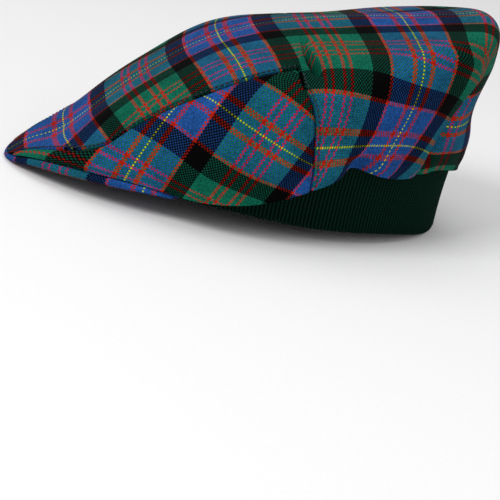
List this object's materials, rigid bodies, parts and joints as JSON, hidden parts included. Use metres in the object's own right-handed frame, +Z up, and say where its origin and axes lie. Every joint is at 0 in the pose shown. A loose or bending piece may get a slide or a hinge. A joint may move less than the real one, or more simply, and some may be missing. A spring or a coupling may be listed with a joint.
{
  "type": "flat cap",
  "caption": "Soft flat cap in a plain-woven tartan with a covered peak, bias-cut side panels and a folded rib-knit head band.",
  "frame": {"origin": "centre of the bounding box's base, on the surface that the cap lies on", "axes": "-X towards the front of the cap, -Y towards the wearer's left, +Z up; it rests on the back of its band and the tip of its peak"},
  "size_m": [0.2634, 0.1888, 0.1228],
  "materials": {
    "tartan_top": "plain-woven tartan, straight grain",
    "tartan_left": "plain-woven tartan, on the bias",
    "tartan_right": "plain-woven tartan, on the bias",
    "tartan_peak": "plain-woven tartan over a stiff board",
    "rib_knit": "ribbed wool knit"
  },
  "bodies": {
    "root": {"crown_top": "tartan_top", "side_panel_left": "tartan_left", "side_panel_right": "tartan_right", "peak": "tartan_peak", "knit_band": "rib_knit"}
  },
  "joints": []
}
